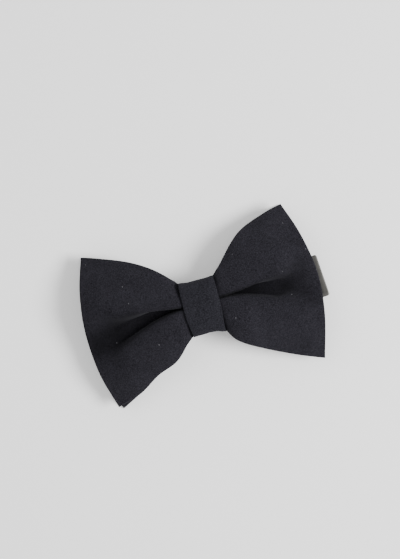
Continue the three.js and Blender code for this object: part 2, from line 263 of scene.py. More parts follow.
def clothFinish(name, pitch, lint=0.0, stitchAt=None, depth=False, light="light", flecked=0.43):
    # a matte twill: threads cross along the piece's own u and v, with grain, soft mottling and stray lint; with
    # depth, painted shade from the piece's pleat attribute darkens it
    look = clothLook
    made = Finish(name)
    u, v, _ = made.parts(made.coordinates("UV"))
    turns = 2 * math.pi / pitch
    diagonal = ((u + v) * (turns * 0.5)).sine() * 0.5 + 0.5
    weft = (u * turns).sine() * 0.5 + 0.5
    warp = (v * turns).sine() * 0.5 + 0.5
    weave = diagonal * 0.5 + weft * 0.25 + warp * 0.25
    place = made.coordinates("Object")
    broad = made.noise(place, look["mottleScale"], 3.0, 0.55)
    fine = made.noise(place, look["grainScale"], 2.0, 0.7)
    grain = (fine - 0.5) * look["grainGain"] + 0.5
    tone = (broad * 0.5 + grain * 0.55 + weave * 0.2 - 0.1).clipped()
    colour = made.blend(tone, look["dark"], look[light])
    if depth:
        # painted shade: the pleat attribute darkens the cloth towards near-black in and beside the pleat, where
        # shade falls
        inside = made.node("ShaderNodeAttribute", {"attribute_name": "pleat"}, output="Fac")
        colour = made.blend(inside.clipped(), colour, look["pleatShadeColour"])
    if lint:
        bent = made.stretched(place, (1.0, 0.55, 1.0), (0.3, 0.2, 0.7))
        cells = made.node("ShaderNodeTexVoronoi", {"feature": "F1"}, {"Vector": bent, "Scale": look["lintScale"]})
        chosen = made.noise(place, look["lintPatches"], 0.0).step(flecked, flecked + 0.04)
        fleck = (1 - cells.step(0.025, 0.06)) * chosen * lint
        colour = made.blend(fleck, colour, look["lint"])
    height = weave * 0.6 + fine * 0.8
    if stitchAt:
        # a line of stitches this far in from the middle of a tape that runs along u
        reach = ((v.absolute() - stitchAt) / look["stitchHalf"]).absolute()
        row = 1 - reach.step(0.6, 1.0)
        beat = ((u * (2 * math.pi / look["stitchPitch"])).sine() + 0.55).step(0.0, 0.4)
        stitch = row * beat
        colour = made.blend(stitch * 0.7, colour, look["stitch"])
        height = height + stitch * 2.5 - row * 0.8
    made.set(Base_Color=colour, Roughness=(fine * 0.12 + look["roughness"]).clipped(), Sheen_Weight=look["sheen"],
             Sheen_Roughness=look["sheenRoughness"], Sheen_Tint=look["sheenTint"],
             Specular_IOR_Level=look["specular"])
    made.bump(height, look["relief"], look["reliefDepth"])
    return made.material


otherLook = {
    "metalDark": (0.066, 0.064, 0.060, 1),
    "metalLight": (0.122, 0.119, 0.112, 1),
    "canvasDark": (0.030, 0.029, 0.028, 1),
    "canvasLight": (0.060, 0.058, 0.055, 1),
    "canvasPitch": 0.9 * mm,
    "threadDark": (0.008, 0.008, 0.009, 1),
    "threadLight": (0.03, 0.03, 0.034, 1),
}


def metalFinish():
    # dull grey plating: fine scratches along the bars and darker patches
    made = Finish("greyPlating")
    place = made.coordinates("Object")
    patches = made.noise(place, 260, 3.0, 0.6)
    scratches = made.noise(made.stretched(place, (2200.0, 160.0, 2200.0)), 1.0, 3.0, 0.6)
    colour = made.blend(patches * 0.7 + scratches * 0.3, otherLook["metalDark"], otherLook["metalLight"])
    made.set(Base_Color=colour, Roughness=(scratches * 0.22 + patches * 0.14 + 0.24).clipped(), Metallic=1.0)
    made.bump(scratches, 0.15, 0.03 * mm)
    return made.material


def canvasFinish():
    # a plain open weave: the product of two waves that cross
    made = Finish("interliningCanvas")
    u, v, _ = made.parts(made.coordinates("UV"))
    turns = 2 * math.pi / otherLook["canvasPitch"]
    weave = (u * turns).sine() * (v * turns).sine() * 0.5 + 0.5
    made.set(Base_Color=made.blend(weave, otherLook["canvasDark"], otherLook["canvasLight"]), Roughness=0.95)
    made.bump(weave, 0.5, 0.1 * mm)
    return made.material


def threadFinish():
    # black thread: one noise drawn out along Y stands for its twist
    made = Finish("blackThread")
    place = made.coordinates("Object")
    twist = made.noise(made.stretched(place, (3000.0, 1200.0, 3000.0)), 1.0)
    made.set(Base_Color=made.blend(twist, otherLook["threadDark"], otherLook["threadLight"]), Roughness=0.7)
    made.bump(twist, 0.4, 0.05 * mm)
    return made.material


knotCloth = clothFinish("knotCloth", clothLook["pitch"], lint=0.7, light="knotLight", flecked=0.38)
# the blades' cloth takes painted shade from its pleat attribute
bladeCloth = clothFinish("bladeCloth", clothLook["pitch"], lint=0.8, depth=True)
tapeCloth = clothFinish("neckbandCloth", clothLook["bandPitch"], stitchAt=clothLook["bandStitch"])
canvas = canvasFinish()
blackThread = threadFinish()
greyPlating = metalFinish()
print("finishes made")


viewLook = {
    "roll": math.radians(15.3),
    "distance": 900 * mm,
    "visibleHeight": 277.4 * mm,  # at the height of the bow's face
    "aimAside": -1.25 * mm,
    "aimUp": 13.5 * mm,
    "aimHeight": 18 * mm,
    "frameHeight": 36.0,
}


def addCamera():
    # straight above the bow, turned so that the bow's right end rises in the picture
    look = viewLook
    right = Vector((math.cos(look["roll"]), -math.sin(look["roll"]), 0))
    up = Vector((math.sin(look["roll"]), math.cos(look["roll"]), 0))
    back = Vector((0, 0, 1))
    aim = right * look["aimAside"] + up * look["aimUp"] + back * look["aimHeight"]
    turn = Matrix((right, up, back)).transposed().to_4x4()
    data = bpy.data.cameras.new("camera")
    data.sensor_fit = "VERTICAL"
    data.sensor_height = look["frameHeight"]
    data.lens = look["frameHeight"] * look["distance"] / look["visibleHeight"]
    data.clip_start = 0.01
    camera = bpy.data.objects.new("camera", data)
    camera.matrix_world = Matrix.Translation(aim + back * look["distance"]) @ turn
    bpy.context.scene.collection.objects.link(camera)
    bpy.context.scene.camera = camera


lightLook = {
    "key": {"place": (0.76, -0.26, 0.80), "size": 0.55, "power": 20.0},
    "fill": {"place": (-0.55, 0.50, 1.00), "size": 0.90, "power": 3.0},
    "surround": 0.72,
    "floorSize": 6,
    "floorDrop": 0.05 * mm,
    "floorColour": (0.95, 0.95, 0.95, 1),
    "floorGlow": 0.2,  # lifts the floor to a pale grey
}


def addFloor():
    # a pale, faintly glowing sheet just under the tie
    bpy.ops.mesh.primitive_plane_add(size=lightLook["floorSize"], location=(0, 0, -lightLook["floorDrop"]))
    floor = bpy.context.object
    floor.name = "floor"
    made = Finish("paleFloor")
    made.set(Base_Color=lightLook["floorColour"], Roughness=0.9, Emission_Color=(1, 1, 1, 1),
             Emission_Strength=lightLook["floorGlow"])
    floor.data.materials.append(made.material)


def addLight(name, place, size, power):
    # a round soft light, aimed at the middle of the bow
    data = bpy.data.lights.new(name, "AREA")
    data.shape = "DISK"
    data.size = size
    data.energy = power
    lamp = bpy.data.objects.new(name, data)
    lamp.location = place
    lamp.rotation_euler = (-Vector(place)).to_track_quat("-Z", "Y").to_euler()
    bpy.context.scene.collection.objects.link(lamp)


def addLights():
    # the key light, the fill light and an even white surround
    addLight("keyLight", **lightLook["key"])
    addLight("fillLight", **lightLook["fill"])
    world = bpy.data.worlds.new("studio")
    world.use_nodes = True
    surround = world.node_tree.nodes["Background"]
    surround.inputs["Color"].default_value = (1, 1, 1, 1)
    surround.inputs["Strength"].default_value = lightLook["surround"]
    bpy.context.scene.world = world


addCamera()
addFloor()
addLights()
print("camera, floor and lights set")


clothRun = {
    "scale": 20.0,  # the solver is steadier on a larger copy
    "frames": 16,
    "quality": 6,
    "mass": 0.3,
    "tension": 12.0,
    "bending": 0.6,
    "damping": 8.0,
    "airDamping": 3.0,
    "holdLevels": 20,
}


def plump(item, hold, pressure, cap):
    # air pressure swells a large copy of the closed cloth, and each point of the piece then moves as far as its copy
    # did, at most by cap in mm; hold is how firmly each point keeps its place
    look = clothRun
    mesh = item.data.copy()
    start = np.zeros(len(mesh.vertices) * 3, np.float32)
    mesh.vertices.foreach_get("co", start)
    mesh.vertices.foreach_set("co", start * look["scale"])
    trial = bpy.data.objects.new(item.name + "_trial", mesh)
    bpy.context.scene.collection.objects.link(trial)
    group = trial.vertex_groups.new(name="hold")
    levels = np.round(np.clip(hold.ravel(), 0, 1) * look["holdLevels"]).astype(int)
    for level in range(1, look["holdLevels"] + 1):
        chosen = np.nonzero(levels == level)[0].tolist()
        if chosen:
            group.add(chosen, level / look["holdLevels"], "REPLACE")
    modifier = trial.modifiers.new("cloth", "CLOTH")
    settings = modifier.settings
    settings.quality = look["quality"]
    settings.mass = look["mass"]
    settings.tension_stiffness = settings.compression_stiffness = look["tension"]
    settings.shear_stiffness = look["tension"] / 2
    settings.bending_stiffness = look["bending"]
    settings.tension_damping = settings.compression_damping = settings.shear_damping = look["damping"]
    settings.air_damping = look["airDamping"]
    settings.effector_weights.gravity = 0.0
    settings.vertex_group_mass = "hold"
    settings.pin_stiffness = 1.0
    settings.use_pressure = True
    settings.uniform_pressure_force = pressure
    modifier.point_cache.frame_start = 1
    modifier.point_cache.frame_end = look["frames"]
    scene = bpy.context.scene
    for frameNumber in range(1, look["frames"] + 1):
        scene.frame_set(frameNumber)
    settled = trial.evaluated_get(bpy.context.evaluated_depsgraph_get()).data
    end = np.zeros_like(start)
    settled.vertices.foreach_get("co", end)
    moved = (end / look["scale"] - start).reshape(-1, 3)
    far = np.linalg.norm(moved, axis=1, keepdims=True)
    print(item.name, "swelled by", round(float(far.mean() / mm), 3), "mm on average, before the cap")
    moved = moved * (cap * mm / np.maximum(far, cap * mm))
    item.data.vertices.foreach_set("co", (start.reshape(-1, 3) + moved).ravel())
    item.data.update()
    scene.frame_set(1)
    bpy.data.objects.remove(trial)
    bpy.data.meshes.remove(mesh)


bowLook = {
    "pinchLength": 7.5,  # half of the gathered stretch under the knot
    "pinchHeight": 12.0,
    "waistHeight": 10.8,
    "edgeRadius": 0.8,
    "spread": 1.022,  # the cloth lies a little wider than its pattern, and lower
    "sag": -0.1,
    "pinchRows": 26,
    "thickness": 1.05,
    "rearTop": 11.15,
    "tuck": 1.1,  # how far the pleat's floor runs under the upper lip
    "hold": 0.15,  # how firmly the cloth keeps its pattern's shape while it swells
    "pressure": 4.0,
    "outlineHold": 0.9,
    "pleatHold": 0.4,
    "swell": 0.6,  # the most that a point may move, in mm
    "droopAtKnot": 4.4,  # how far the lobes' outer edges hang
    "droopOutwards": 5.6,
    "lowest": 12.35,  # the pleat's floor rests just above the rear blade
    "lowestAtEdge": 3.0,  # lower than that by this much, along the outline
    "floorBlend": 0.35,
    "shadeLead": 0.9,  # the pleat's painted shade starts this far above the lip, and further out at the left
    "shadeLeadLeft": 1.7,
    "lipReach": 5.5,  # how far from the lips the lower lobe's fall and its painted shade, and the upper band of painted shade, reach
    "rimReach": 2.5,
    "waves": 0.3,
    "gathers": 1.25,  # the cloth bunches up against the knot
    "leftDrop": 2.4,  # the lower left lobe hangs lower
    "frontTip": (-53.7, -36.8),  # the lower left corners
    "rearTip": (-52, -38.5),
}

leftTop = [(-11.2, 16.5), (-19.5, 24.2), (-30.4, 30.8), (-45.4, 36.7), (-52.5, 39)]
rightTop = [(13.8, 18), (22.1, 26.7), (29.6, 32.1), (42.1, 36.5), (51.3, 38.6)]
leftBottom = [(-12, -15.6), (-19.5, -22.5), (-30.4, -26.8), (-41.2, -33.1)]
rightBottom = [(12.6, -20.3), (23.8, -27.3), (39.6, -35), (52.5, -40.2)]
rightEnd = [(52.5, -40.2), (58, -18.5), (59.8, 1.5), (56.7, 21.5), (51.3, 38.6)]
leftEnd = [(-58.5, -18.5), (-59.9, 1.5), (-57.5, 21.5), (-52.5, 39)]


def wingEdges(side, tip):
    # the top, bottom and end of one wing's outline, from the pinch outwards and from the bottom up
    inner = [(side * bowLook["pinchLength"], bowLook["pinchHeight"] * k) for k in (1, -1)]
    if side > 0:
        return [inner[0], *rightTop], [inner[1], *rightBottom], rightEnd
    return [inner[0], *leftTop], [inner[1], *leftBottom, tip], [tip, *leftEnd]


def wingPlaces(side, tip, u, w):
    # a Coons patch: the sum of the two rulings between opposite edges, less the bilinear patch of the corners
    top, bottom, end = wingEdges(side, tip)
    t, b, e = along(top, u)[:, None], along(bottom, u)[:, None], along(end, w)[None]
    u, w = u[:, None, None], w[None, :, None]
    inner = b[:1] * (1 - w) + t[:1] * w
    corners = (1 - u) * inner + u * (b[-1:] * (1 - w) + t[-1:] * w)
    place = (1 - w) * b + w * t + (1 - u) * inner + u * e - corners
    return place * [1, bowLook["spread"]] + [0, bowLook["sag"]]


def edgeSteps(count, edge=(0.0015, 0.005, 0.010, 0.017, 0.027, 0.040)):
    # 0 to 1, with extra steps close to both ends for the rolled edges
    edge = np.array(edge)
    middle = np.linspace(0, 1, count)
    middle = middle[(middle > edge[-1] * 1.3) & (middle < 1 - edge[-1] * 1.3)]
    return np.concatenate([[0], edge, middle, 1 - edge[::-1], [1]])


def crowd(w, amount=0.35):
    # draws the rows towards the valley in the middle of the wing
    s = 2 * w - 1
    return (s * (1 - amount) + amount * s * np.abs(s) ** 1.5 + 1) / 2


def bladeGrid(tip, columns=96, rows=96):
    # the blade's outline as a grid of places in x and y, from the left wing's end to the right wing's
    u = edgeSteps(columns)[1:]
    u = u[(u > 0.01)]
    w = crowd(edgeSteps(rows))
    s = 2 * w - 1
    left = wingPlaces(-1, tip, u, w)[::-1]
    right = wingPlaces(1, tip, u, w)
    x = np.linspace(-1, 1, bowLook["pinchRows"])[:, None]
    half = bowLook["waistHeight"] + (bowLook["pinchHeight"] - bowLook["waistHeight"]) * x ** 2
    pinch = np.stack([x * bowLook["pinchLength"] + 0 * s, half * s[None]], -1)
    place = np.concatenate([left, pinch, right])
    outward = np.concatenate([u[::-1], np.zeros(len(x)), u])
    side = np.concatenate([-np.ones(len(u)), np.where(x[:, 0] < 0, -1.0, 1.0), np.ones(len(u))])
    return place, outward[:, None], s[None], side[:, None]


def edgeRoll(place, radius):
    # 0 on the outline, rising to 1 a radius inside it along a quarter circle
    steps = np.linalg.norm(np.diff(place, axis=1), axis=2)
    across = np.concatenate([np.zeros((len(place), 1)), np.cumsum(steps, axis=1)], 1)
    toSide = np.minimum(across, across[:, -1:] - across)
    steps = np.linalg.norm(np.diff(place, axis=0), axis=2)
    lengthwise = np.concatenate([np.zeros((1, place.shape[1])), np.cumsum(steps, axis=0)], 0)
    toEnd = np.minimum(lengthwise, lengthwise[-1:] - lengthwise)
    inside = np.minimum(toSide, toEnd)
    t = 1 - np.clip(inside / radius, 0, 1)
    return np.sqrt(1 - t * t), inside, across - across[:, -1:] / 2, lengthwise


# the height of the lobes' crests against |x|
crestRun = [(0, 19.2), (7.2, 19.3), (9.8, 20.2), (13, 20.6), (20, 20.6), (28, 20.4), (40, 19.6), (50, 18.2),
            (60, 16.8)]

# how the front blade's pleat runs against |x|: its two lips in y, its depth, how softly each side falls,
# how dark its painted shade is, and how far its floor runs under the upper lip; under the knot its lobes close up
leftPleat = {
    "upper": [(0, 1.9), (8, 2.2), (18, 3.5), (26, 4.9), (34.5, 6.0), (43, 7.0), (51, 9.0), (61, 9)],
    "lower": [(0, 0.6), (8, 0.4), (18, -0.6), (26, -2.4), (34.5, -5.6), (43, -9.8), (51, -14.0), (61, -17)],
    "depth": [(0, 6.0), (2, 6.0), (3.5, 0), (5.2, 0), (8.2, 6.2), (18, 7.2), (30, 7.6), (40, 6.8), (50, 4.6),
              (56, 3.4), (61, 2.6)],
    "upperFall": [(0, 0.8), (18, 1.2), (26, 2.2), (34.5, 3.6), (43, 6.5), (51, 13), (61, 16)],
    "lowerFall": [(0, 0.5), (18, 0.7), (30, 1.5), (38, 3.0), (45, 5.0), (52, 7.2), (61, 8.5)],
    "shade": [(0, 0.8), (14, 0.6), (20, 0.5), (28, 0.58), (36, 0.68), (44, 0.76), (56, 0.66), (61, 0.5)],
    # roll: how far the lower lobe falls at its lip; rollShade and rimShade: painted shade along the lower lip and
    # above the upper lip
    "roll": [(0, 0.2), (18, 0.8), (28, 1.8), (44, 1.8), (61, 1.0)],
    "rollShade": [(0, 0.06), (18, 0.12), (26, 0.22), (44, 0.27), (61, 0.24)],
    "rimShade": [(0, 0.05), (18, 0.12), (30, 0.2), (44, 0.22), (61, 0.22)],
    "under": [(0, 0), (7, 0), (9.5, 1), (19, 1), (25, 0.7), (31, 0.25), (37, 0), (61, 0)],
}
rightPleat = {
    "upper": [(0, 2.2), (8, 2.6), (19.6, 3.2), (28, 4.4), (36.3, 5.8), (43, 6.6), (52, 8.0), (61, 7)],
    "lower": [(0, 0.9), (8, 0.9), (19.6, -0.2), (28, -2.7), (36.3, -6.2), (43, -7.8), (52, -11), (61, -12)],
    "depth": [(0, 6.0), (2, 6.0), (3.5, 0), (5.2, 0), (8.2, 6.0), (20, 7.0), (30, 6.6), (38, 4.8), (44, 2.9),
              (50, 2.0), (61, 1.0)],
    "upperFall": [(0, 0.8), (20, 1.0), (28, 1.5), (38, 2.6), (46, 5), (61, 8)],
    "lowerFall": [(0, 0.5), (20, 0.8), (30, 1.3), (38, 2.8), (46, 6), (61, 9)],
    "shade": [(0, 0.95), (24, 0.85), (32, 0.62), (38, 0.42), (46, 0.3), (54, 0.2), (61, 0.12)],
    # roll: how far the lower lobe falls at its lip; rollShade and rimShade: painted shade along the lower lip and
    # above the upper lip
    "roll": [(0, 0.2), (20, 0.6), (30, 1.0), (61, 0.4)],
    "rollShade": [(0, 0.06), (20, 0.07), (30, 0.07), (61, 0.03)],
    "rimShade": [(0, 0.05), (20, 0.12), (36, 0.2), (50, 0.14), (61, 0.08)],
    "under": [(0, 0), (7, 0), (9.5, 1), (20, 1), (27, 0.7), (33, 0.25), (38, 0), (61, 0)],
}


def sideValue(x, side, key):
    # the left or the right pleat's own run of this key, at |x|
    return np.where(side < 0, graph(leftPleat[key], np.abs(x)), graph(rightPleat[key], np.abs(x)))


def pleat(x, y, side, key, lead=0.0):
    # the key's value on the pleat's floor, falling to 0 over each lip, the upper one moved up by lead
    fromUpper = (sideValue(x, side, "upper") + lead - y) / sideValue(x, side, "upperFall")
    fromLower = (y - sideValue(x, side, "lower")) / sideValue(x, side, "lowerFall")
    return smooth(fromUpper, 0, 1) * smooth(fromLower, 0, 1) * sideValue(x, side, key)


def tuck(x, y, side):
    # the pleat's upper wall leans back under its lip: points on it and on the floor move up in y
    upper, lower = sideValue(x, side, "upper"), sideValue(x, side, "lower")
    fall = sideValue(x, side, "upperFall")
    toFloor = np.clip((upper - y) / fall, 0, 1)
    fromLower = np.clip((y - lower) / np.maximum(upper - fall - lower, 0.3), 0, 1)
    return (fall + bowLook["tuck"]) * sideValue(x, side, "under") * toFloor * fromLower


def lowerLip(x, y, side, key):
    # the lower lobe falls away towards its lip, most at the lip itself; with a shade key the same run gives the
    # painted shade along the lip
    below = np.maximum(sideValue(x, side, "lower") - y, 0)
    belowUpper = sideValue(x, side, "upper") - y
    return np.exp(-below / bowLook["lipReach"]) * sideValue(x, side, key) * smooth(belowUpper, -1, 3)


def upperRim(x, y, side, key):
    # a soft band of painted shade just above the upper lip
    above = y - sideValue(x, side, "upper")
    return np.exp(-np.maximum(above, 0) / bowLook["rimReach"]) * sideValue(x, side, key) * smooth(above, -2.5, 0)


# soft hollows where the right pleat opens out, and the painted shade in them: how deep or how dark, from, to and how
# wide
dimples = [(0.8, (44, 0), (52, 8), 4), (1.0, (44, 0), (55, -11), 4)]
dimpleShades = [(0.2, (42, 0), (52, 6), 4.5), (0.22, (42, -1), (54, -11), 4.5)]


def trough(x, y, start, end, width):
    # a soft hollow round the segment from start to end
    (ax, ay), (bx, by) = start, end
    t = np.clip(((x - ax) * (bx - ax) + (y - ay) * (by - ay)) / ((bx - ax) ** 2 + (by - ay) ** 2), 0, 1)
    far = np.hypot(x - ax - t * (bx - ax), y - ay - t * (by - ay))
    return np.exp(-(far / width) ** 2)


def hollows(x, y, troughs):
    return sum(depth * trough(x, y, start, end, width) for depth, start, end, width in troughs)


def unevenness(x, y, phase):
    # broad shallow waves, in mm
    return (np.sin(x / 6.1 + y / 9.7 + phase) + np.sin(x / 9.3 - y / 5.9 + 2 * phase)
            + 0.6 * np.sin(x / 3.7 + y / 4.3 - phase)) / 3


def frontHeight(x, y, u, s, side):
    # the crest's height less the droop, the pleat, the lips' fall and the hollows, kept above the rear blade
    fuller = 1 - 0.4 * smooth(np.abs(x), 7, 13) * (1 - smooth(np.abs(x), 16, 32))
    droop = (bowLook["droopAtKnot"] + bowLook["droopOutwards"] * u) * np.abs(s) ** 2.5 * fuller
    waves = bowLook["waves"] * unevenness(x, y, 0.7) * smooth(np.abs(x), 9, 20)
    gathers = bowLook["gathers"] * np.exp(-((np.abs(x) - 4.4) / 1.3) ** 2 - ((y - 1.5) / 4) ** 2)
    lobes = graph(crestRun, np.abs(x)) + gathers - lowerLip(x, y, side, "roll")
    drop = bowLook["leftDrop"] * smooth(-x, 42, 62) * smooth(-y, 4, 16)
    z = lobes - droop - pleat(x, y, side, "depth") - hollows(x, y, dimples) - drop + waves
    lowest = bowLook["lowest"] - bowLook["lowestAtEdge"] * smooth(np.abs(s), 0.35, 0.9)
    return lowest + np.logaddexp(0, (z - lowest) / bowLook["floorBlend"]) * bowLook["floorBlend"]


def frontShade(x, y, u, s, side):
    # painted shade: the darker of the pleat's and its lips' painted shade, plus the hollows': 1 is as dark as the
    # cloth gets
    lips = np.maximum(lowerLip(x, y, side, "rollShade"), upperRim(x, y, side, "rimShade"))
    lead = bowLook["shadeLead"] + bowLook["shadeLeadLeft"] * smooth(-x, 26, 38)
    return np.clip(np.maximum(pleat(x, y, side, "shade", lead), lips) + hollows(x, y, dimpleShades), 0, 1)


def rearHeight(x, y, u, s, side):
    # nearly flat by the neckband, with its four corners down on the surface
    top = bowLook["rearTop"]
    corner = top - bowLook["thickness"]
    waves = bowLook["waves"] * unevenness(x, y, 2.1) * smooth(np.abs(y), 10, 18) * (1 - np.abs(s) ** 4)
    return top - corner * u ** 1.2 * np.abs(s) ** 2.2 + waves


def rearShade(x, y, u, s, side):
    # the rear blade has no pleat and no painted shade
    return 0 * x


def facing(place):
    # unit normals of a grid of places, from the cross product of its two differences
    normal = np.cross(np.gradient(place, axis=0), np.gradient(place, axis=1))
    return normal / np.maximum(np.linalg.norm(normal, axis=2, keepdims=True), 1e-9)


def makeBlade(name, tip, height, shade, nodes, lean=None):
    # a closed bag: the middle surface moved half the thickness both ways along its normals, meeting in a rolled edge
    place, u, s, side = bladeGrid(tip)
    x, y = place[..., 0], place[..., 1]
    roll, inside, across, lengthwise = edgeRoll(place, bowLook["edgeRadius"])
    face = height(x, y, u, s, side)
    half = bowLook["thickness"] / 2
    middle = np.stack([x, y + (0 if lean is None else lean(x, y, side)), face - half], -1)
    out = facing(middle)
    out = out * np.sign(out[len(x) // 2, x.shape[1] // 2, 2]) * (half * roll)[..., None]
    top, under = middle + out, middle - out
    rows, columns = x.shape
    number = np.arange(rows * columns).reshape(rows, columns)
    lower = number.copy()
    inner = np.zeros((rows, columns), bool)
    inner[1:-1, 1:-1] = True
    lower[inner] = rows * columns + np.arange(inner.sum())
    quads = gridQuads(rows, columns)
    points = np.concatenate([top.reshape(-1, 3), under[inner]])
    uvTop = np.stack([lengthwise, across], -1).reshape(-1, 2)
    uv = np.concatenate([uvTop, uvTop.reshape(rows, columns, 2)[inner]])
    allQuads = np.concatenate([quads, lower.ravel()[quads][:, ::-1]])
    # painted shade: how dark the cloth is drawn at each point of the top face, none underneath; it also firms the
    # cloth's hold
    paintedShadeAmount = shade(x, y, u, s, side)
    paintedShades = np.concatenate([paintedShadeAmount.ravel(), 0 * paintedShadeAmount[inner]])
    item = makeObject(name, points, allQuads, uv, bladeCloth, {"pleat": paintedShades})
    pinned = np.maximum(smooth(-np.abs(x), -14, -8), bowLook["outlineHold"] * smooth(-inside, -4, -1.5))
    hold = np.maximum(pinned, bowLook["hold"] + bowLook["pleatHold"] * paintedShadeAmount)
    plump(item, np.concatenate([hold.ravel(), hold[inner]]), bowLook["pressure"], bowLook["swell"])
    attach(item, "bow")
    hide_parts(*nodes)
    return item


frontBlade = makeBlade("front_blade_cover", bowLook["frontTip"], frontHeight, frontShade,
                       ["front_blade_face", "front_blade_backing", "front_blade_interlining"], tuck)
rearBlade = makeBlade("rear_blade_cover", bowLook["rearTip"], rearHeight, rearShade,
                      ["rear_blade_face", "rear_blade_backing", "rear_blade_interlining"])
print("blades made")


knotLook = {
    "back": 7.75,
    "front": 21.4,
    "halfHeight": 14.3,
    "thickness": 0.9,
    "lining": 0.35,
    "liningInset": 0.75,
    "liningShare": 0.86,  # of the knot's width
    "crown": 0.7,
    "squareness": 6.5,  # of the loop seen from its end
    "tightness": 0.35,  # of the band's two edges
    "leftHalf": 8.9,
    "rightHalf": 9.1,
    "backHalf": 8.4,
    "lowerDrop": 1.5,
    "crease": 0.3,
    "ridge": 0.25,
    "waves": 0.10,
    "topHollow": 0.8,  # the upper and lower edges curve in between their corners
    "bottomHollow": 0.9,
    "around": 240,
    "across": 64,
}


def knotSleeve(name, node, inset, thickness, narrow, finish):
    # a flat sleeve: across the band an oval with tight ends, carried round a rounded rectangle in y and z
    look = knotLook
    turn = np.linspace(0, 2 * math.pi, look["around"], endpoint=False)[:, None]
    p = np.linspace(0, 2 * math.pi, look["across"], endpoint=False)[None]
    width = signedPower(np.cos(p), look["tightness"])  # -1 to 1 across the band
    skin = np.sin(p) * thickness / 2 - inset
    power = 2 / look["squareness"]
    cy, cz = signedPower(np.cos(turn), power), signedPower(np.sin(turn), power)
    middle, rise = (look["front"] + look["back"]) / 2, (look["front"] - look["back"]) / 2
    half = look["halfHeight"] - look["thickness"] / 2
    topEdge = half - look["topHollow"] * (1 - (width - 0.1) ** 2) + 0.15 * np.sin(5 * width + 1)
    bottomEdge = half - look["bottomHollow"] * (1 - width ** 2)
    bottomEdge = bottomEdge + 0.9 * smooth(width, 0.3, 1) - 0.4 * smooth(-width, 0.3, 1)
    y = np.where(cy > 0, cy * topEdge, cy * bottomEdge)
    frontness = np.clip(cz, 0, 1)
    z = middle + cz * (rise - look["thickness"] / 2)
    z = z + frontness * look["crown"] * (1 - width ** 2) * (1 - (y / 16) ** 2)
    z = z - frontness * look["lowerDrop"] * smooth(-y, 4.5, 12.5)
    z = z - frontness * look["crease"] * np.exp(-((y + 6.0 - width) / 1.4) ** 2)
    z = z + frontness * look["ridge"] * np.exp(-((y + 8.2 - 0.8 * width) / 1.1) ** 2)
    z = z + frontness * look["waves"] * unevenness(width * 17, y * 2.2, 0.3)
    normal = np.stack([signedPower(cy, 2 / power - 1) * rise / half, signedPower(cz, 2 / power - 1)], -1)
    normal = normal / np.linalg.norm(normal, axis=-1, keepdims=True)
    left = -(look["leftHalf"] - 0.8 * smooth(-y, 3, 14) + 0.5 * (1 - (y / 14) ** 2))
    right = look["rightHalf"] - 1.0 * smooth(-y, 0, 14)
    left = (left * frontness - look["backHalf"] * (1 - frontness)) * narrow
    right = (right * frontness + look["backHalf"] * (1 - frontness)) * narrow
    x = (left + right) / 2 + width * (right - left) / 2
    points = np.stack([x + 0 * z, y + normal[..., 0] * skin, z + normal[..., 1] * skin], -1)
    run = lengths(points[:, look["across"] // 4])[:, None] + 0 * width  # along the outside, mid-width
    uv = np.stack([x + 0 * z, run], -1)
    quads = gridQuads(look["around"], look["across"], True, True)
    item = makeObject(name, points, quads[:, ::-1], uv, finish)
    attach(item, "bow")
    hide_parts(node)
    return item


knot = knotSleeve("knot_cover", "knot_loop", 0.0, knotLook["thickness"], 1.0, knotCloth)
knotSleeve("knot_stiffener", "knot_interlining", knotLook["liningInset"], knotLook["lining"],
           knotLook["liningShare"], canvas)
print("knot made")


bandLook = {
    "width": 15.0,
    "middle": -1.1,
    "thickness": 0.66,
    "firstRun": 9.55,  # heights of the runs' middles
    "secondRun": 6.35,
    "thirdRun": 5.35,
    "fourthRun": 3.35,
    "sliderTop": 2.35,
    "returnRun": 0.35,
    "outerFold": -56.0,
    "innerFold": 50.0,
    "lastFold": -50.0,
    "hookBar": 32.0,
    "sliderBar": -30.0,
    "ringStart": 46.0,
    "edgeRadius": 0.5,
    "stitchFrom": 6.3,  # the sunk stitch row, from the tape's middle
    "stitchSunk": 0.16,  # share of the thickness
    "ripple": 0.05,
    "sway": 0.06,
    "edgePoints": 6,
    "flatPoints": 19,
    "declaredFrom": 10,  # a tape length, in mm
}


def line(x0, x1, z, step=1.6):
    # level points in x and z
    x = np.linspace(x0, x1, max(2, int(abs(x1 - x0) / step)))
    return np.stack([x, 0 * x + z], -1)


def turnRound(x, zFrom, zTo, side, count=14):
    # a half circle between two heights, bulging to one side of x
    angle = np.linspace(math.pi / 2, -math.pi / 2, count)[1:-1]
    radius, middle = (zFrom - zTo) / 2, (zFrom + zTo) / 2
    return np.stack([x + side * abs(radius) * np.cos(angle), middle + radius * np.sin(angle)], -1)


